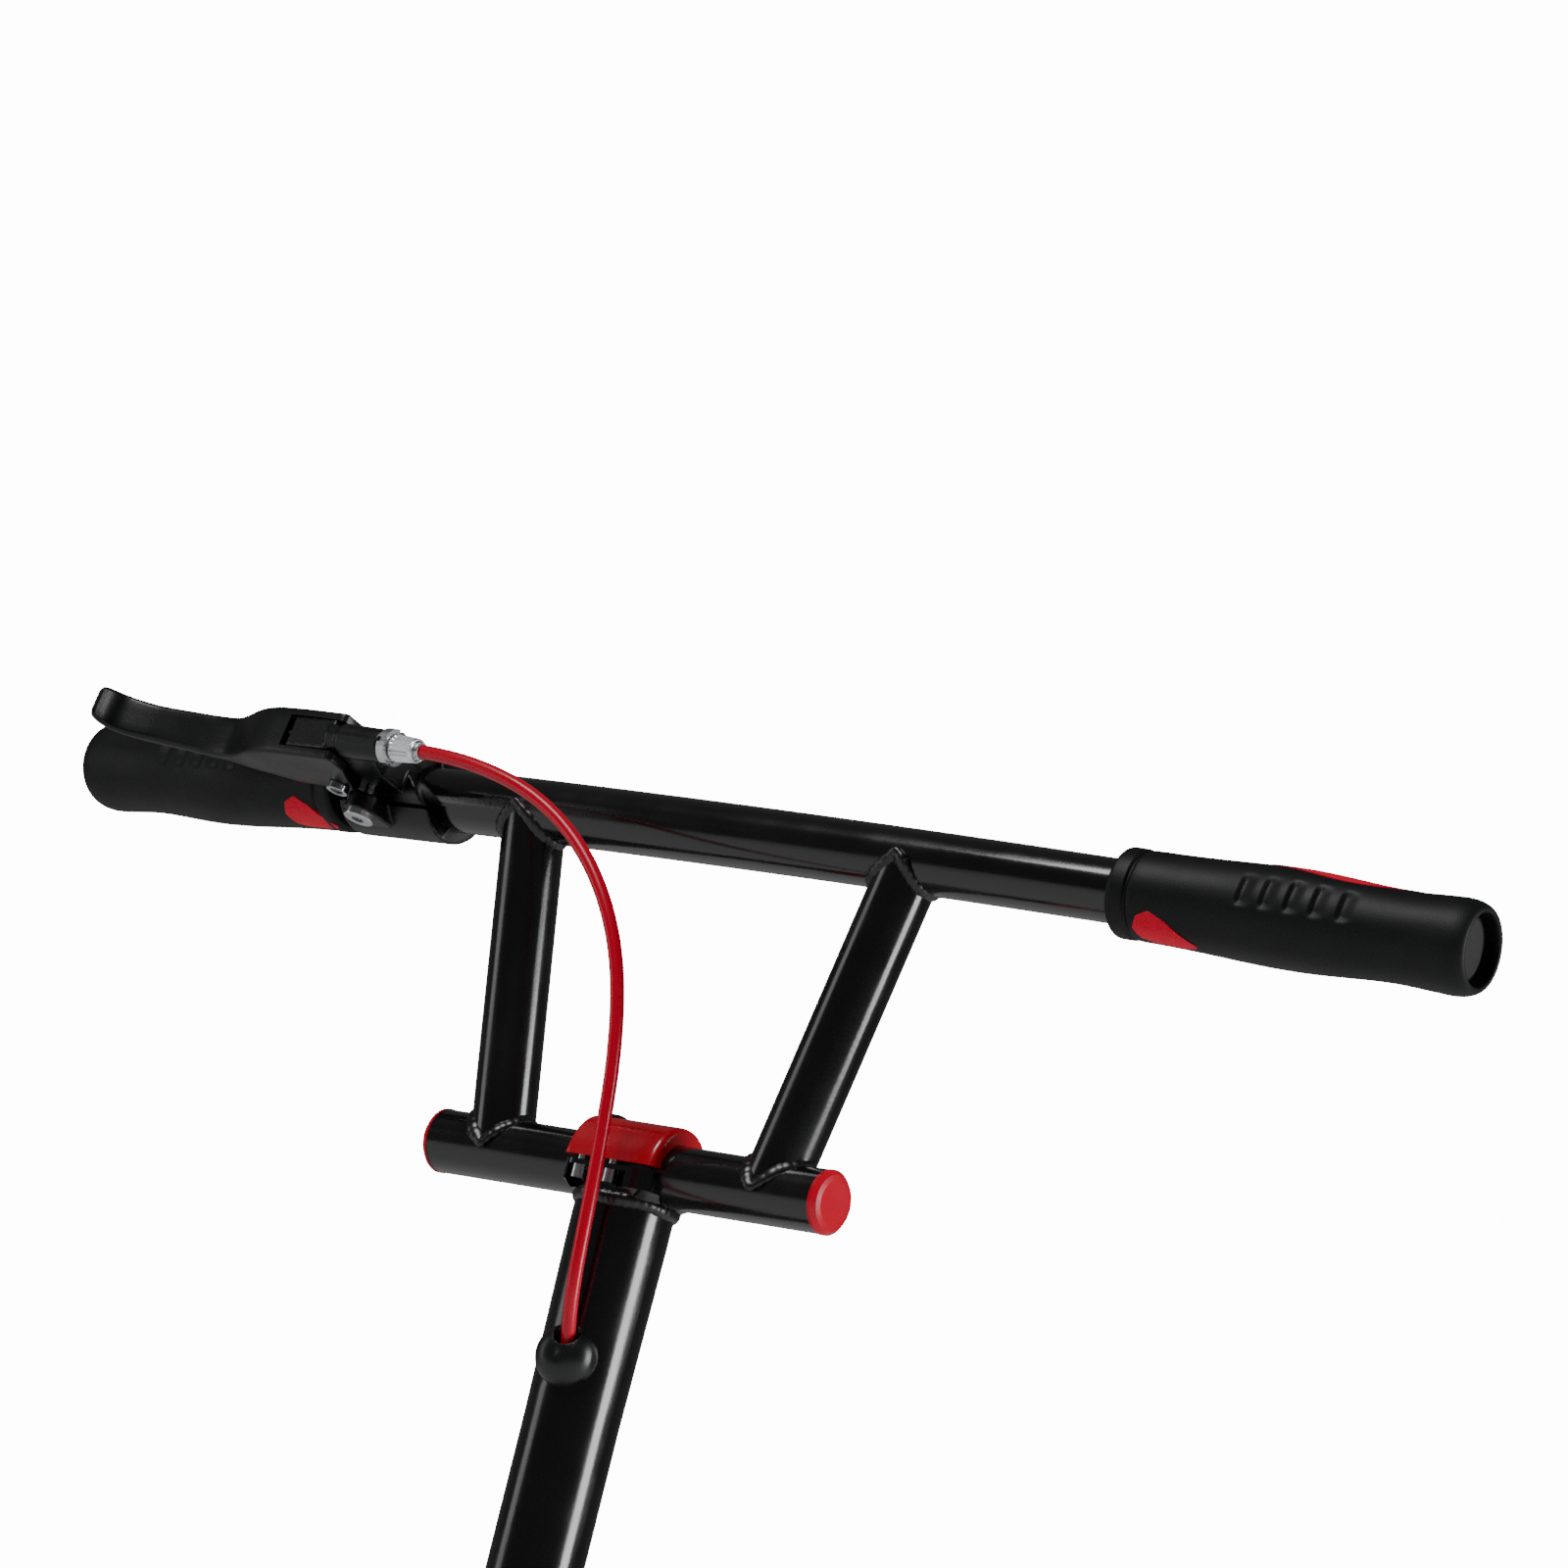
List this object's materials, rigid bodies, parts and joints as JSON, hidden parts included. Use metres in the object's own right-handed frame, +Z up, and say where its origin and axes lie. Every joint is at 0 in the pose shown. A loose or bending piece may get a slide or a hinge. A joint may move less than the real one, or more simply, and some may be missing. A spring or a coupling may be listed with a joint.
{
  "type": "kick scooter handlebar",
  "caption": "Swept scooter handlebar with rubber grips and a hand brake, on two stays and a cross tube clamped to a round steering column, brake cable routed into the column.",
  "frame": {"origin": "centre of the steering column's lower end", "axes": "+Z up along the column's axis, -Y towards the front of the scooter, +X towards the rider's left hand"},
  "size_m": [0.609, 0.0838, 0.6619],
  "materials": {
    "black_powder_coat": "gloss",
    "red_enamel": "gloss",
    "black_rubber": "matte",
    "red_rubber": "satin",
    "zinc": "satin",
    "black_oxide": "satin",
    "lever_nylon": "satin",
    "black_plastic": "satin",
    "red_plastic": "gloss",
    "cable_sheath": "gloss",
    "steel_wire": "satin"
  },
  "bodies": {
    "column": {"column_tube": "black_powder_coat", "clamp_saddle": "black_powder_coat", "clamp_cap": "red_enamel", "clamp_screws": "zinc", "tilt_stop_screw": "black_oxide", "cable_grommet": "black_rubber", "foot_plug": "black_plastic", "lower_ferrule": "zinc", "brake_cable": "cable_sheath"},
    "handlebar": {"cross_tube": "black_powder_coat", "cross_cap_left": "red_plastic", "cross_cap_right": "red_plastic", "stay_left": "black_powder_coat", "stay_right": "black_powder_coat", "main_bar": "black_powder_coat", "bar_end_plug_left": "black_plastic", "bar_end_plug_right": "black_plastic", "grip_left": "black_rubber", "grip_right": "black_rubber", "grip_inlay_left": "red_rubber", "grip_inlay_right": "red_rubber", "lever_perch": "lever_nylon", "band_screw": "zinc", "pivot_screw": "zinc", "pivot_nut": "zinc", "return_spring": "steel_wire", "brake_wire": "steel_wire"},
    "lever": {"brake_lever": "lever_nylon", "cable_nipple": "zinc"},
    "housing_end": {"upper_ferrule": "zinc"},
    "adjuster": {"barrel_adjuster": "zinc"},
    "lock_ring": {"lock_ring": "zinc"},
    "wire_end": {"wire_lower_end": "steel_wire"}
  },
  "joints": [
    {"name": "handlebar_tilt", "type": "hinge", "parent": "column", "child": "handlebar", "pos_m": [0, 0, 0.5], "axis": [1, 0, 0], "range_deg": [-20, 20], "deforming": ["brake_cable"]},
    {"name": "lever_pull", "type": "hinge", "parent": "handlebar", "child": "lever", "pos_m": [-0.15599, -0.01663, 0.62499], "axis": [-0.0193, -0.207, -0.9781], "range_deg": [0, 11], "stiffness_Nm_per_rad": 0.5, "springref_deg": -11.46, "deforming": ["brake_wire"]},
    {"name": "wire_end_slide", "type": "slide", "parent": "column", "child": "wire_end", "axis": [0, 0, 1], "range_m": [0, 0.00375]},
    {"name": "adjuster_travel", "type": "slide", "parent": "handlebar", "child": "housing_end", "axis": [0.9996, -0.0248, -0.0145], "range_m": [0, 0.0032]},
    {"name": "adjuster_turn", "type": "hinge", "parent": "housing_end", "child": "adjuster", "pos_m": [-0.12364, -0.03592, 0.62843], "axis": [0.9996, -0.0248, -0.0145], "range_deg": [0, 1440]},
    {"name": "lock_ring_turn", "type": "hinge", "parent": "handlebar", "child": "lock_ring", "pos_m": [-0.12364, -0.03592, 0.62843], "axis": [0.9996, -0.0248, -0.0145], "range_deg": [0, 90]}
  ],
  "couplings": [
    {"joint": "wire_end_slide", "follows": "lever_pull", "m_per_rad": 0.0194},
    {"joint": "adjuster_turn", "follows": "adjuster_travel", "rad_per_m": 7854}
  ]
}
